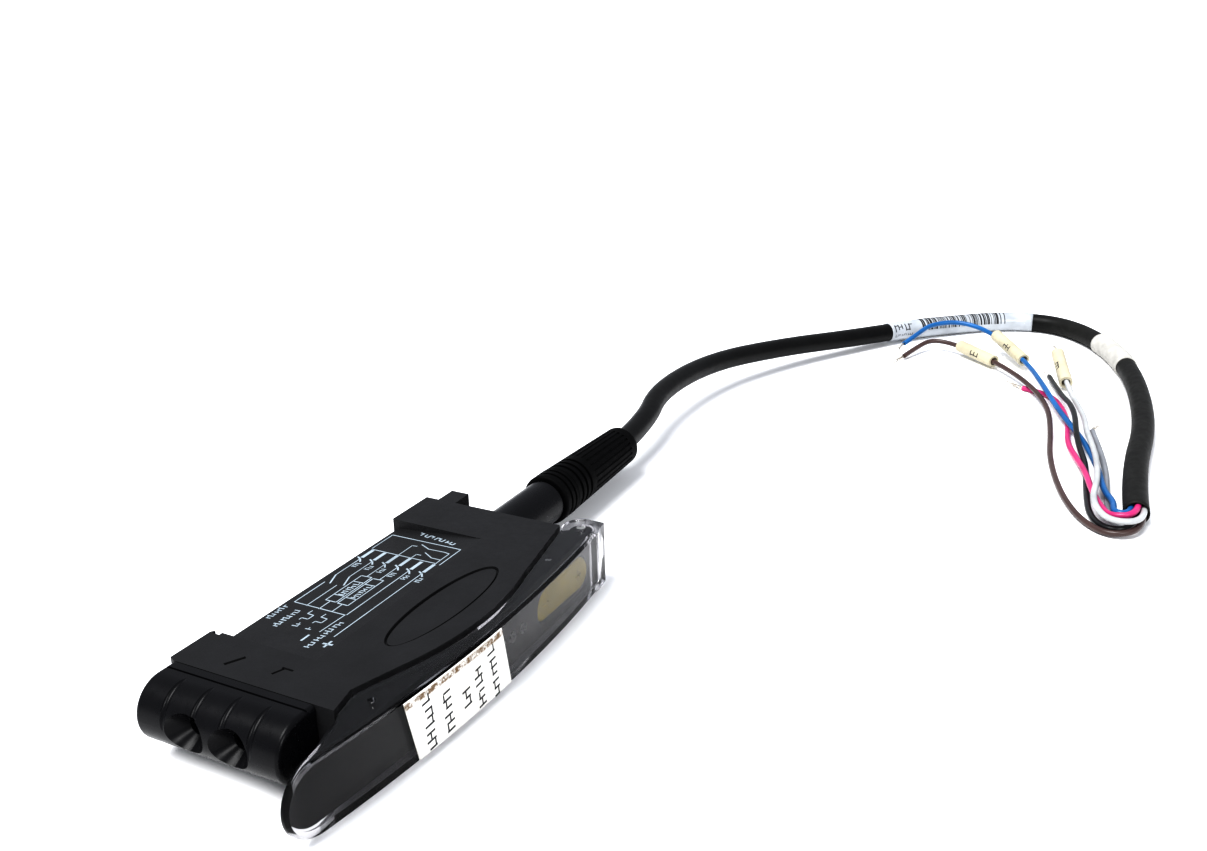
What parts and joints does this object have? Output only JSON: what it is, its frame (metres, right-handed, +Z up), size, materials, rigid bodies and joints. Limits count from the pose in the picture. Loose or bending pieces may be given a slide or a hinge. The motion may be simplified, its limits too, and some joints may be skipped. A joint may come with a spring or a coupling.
{
  "type": "photoelectric sensor",
  "caption": "Slim DIN-rail fibre-optic photoelectric sensor with hinged smoked cover, sliding fibre gripper, rear plug and a short cut cord with tagged wires.",
  "frame": {"origin": "on the flat side that the sensor lies on, midway along the moulded housing and its cover", "axes": "+X from the fibre end to the cord end, +Y to the DIN-rail side, +Z up through the 10.5 mm thickness"},
  "size_m": [0.2307, 0.1001, 0.0106],
  "materials": {
    "case": "fine-textured black housing plastic",
    "nose": "semi-gloss black plastic",
    "smoke": "smoked transparent plastic",
    "bezel": "satin black fascia",
    "paper": "aged white paper label",
    "rocker": "yellow-green button",
    "steel": "plain steel pin",
    "gold": "gold-flashed contact",
    "board": "green circuit board",
    "chip": "moulded chip package",
    "lens": "clear moulded lens",
    "window": "red-tinted display window",
    "light": "frosted light pipe",
    "plug": "matt black overmoulding",
    "jacket": "black cord jacket",
    "insert": "black insulator",
    "collet": "grey collet plastic",
    "print": "self-laminating cord label",
    "tape": "white cloth tape",
    "tag": "ivory marker sleeve",
    "copper": "tinned copper strands",
    "brown": "brown insulation",
    "blue": "blue insulation",
    "pink": "pink insulation",
    "white": "white insulation",
    "grey": "grey insulation",
    "black": "black insulation"
  },
  "bodies": {
    "case": {"case_tray": "case", "case_lid": "case", "display_bezel": "bezel", "hinge_pin": "steel", "fibre_collets": "collet", "optic_block": "chip", "emitter_lamp": "lens", "receiver_diode": "lens", "main_board": "board", "board_chips": "chip", "display_board": "board", "board_header": "gold", "digit_display": "chip", "display_window": "window", "status_lights": "light", "rocker_pin": "steel", "key_switches": "chip", "rear_socket": "nose", "socket_insert": "insert", "socket_pins": "gold", "plug_insert": "insert", "plug_contacts": "gold", "plug_collar": "plug", "plug_grip": "plug", "cable_jacket": "jacket", "cable_label": "print", "tape_wrap": "tape", "wire_brown": "brown", "strands_brown": "copper", "wire_blue": "blue", "strands_blue": "copper", "wire_pink": "pink", "strands_pink": "copper", "wire_white": "white", "strands_white": "copper", "wire_grey": "grey", "strands_grey": "copper", "wire_black": "black", "strands_black": "copper", "tag_brown": "tag", "tag_blue": "tag", "tag_white": "tag"},
    "gripper": {"fibre_gripper": "nose"},
    "cover": {"smoked_cover": "smoke", "paper_label": "paper"},
    "rocker": {"rocker_button": "rocker"},
    "clip": {"rail_clip": "case"}
  },
  "joints": [
    {"name": "cover_hinge", "type": "hinge", "parent": "case", "child": "cover", "pos_m": [0.0316, -0.0113, 0.00525], "axis": [0, 0, 1], "range_deg": [0, 90]},
    {"name": "gripper_slide", "type": "slide", "parent": "case", "child": "gripper", "axis": [-1, 0, 0], "range_m": [0, 0.003]},
    {"name": "rocker_tilt", "type": "hinge", "parent": "case", "child": "rocker", "pos_m": [0.0215, -0.0116, 0.00525], "axis": [0, 0, 1], "range_deg": [-2, 2], "stiffness_Nm_per_rad": 0.02},
    {"name": "clip_slide", "type": "slide", "parent": "case", "child": "clip", "axis": [1, 0, 0], "range_m": [0, 0.003], "stiffness_N_per_m": 1500}
  ]
}
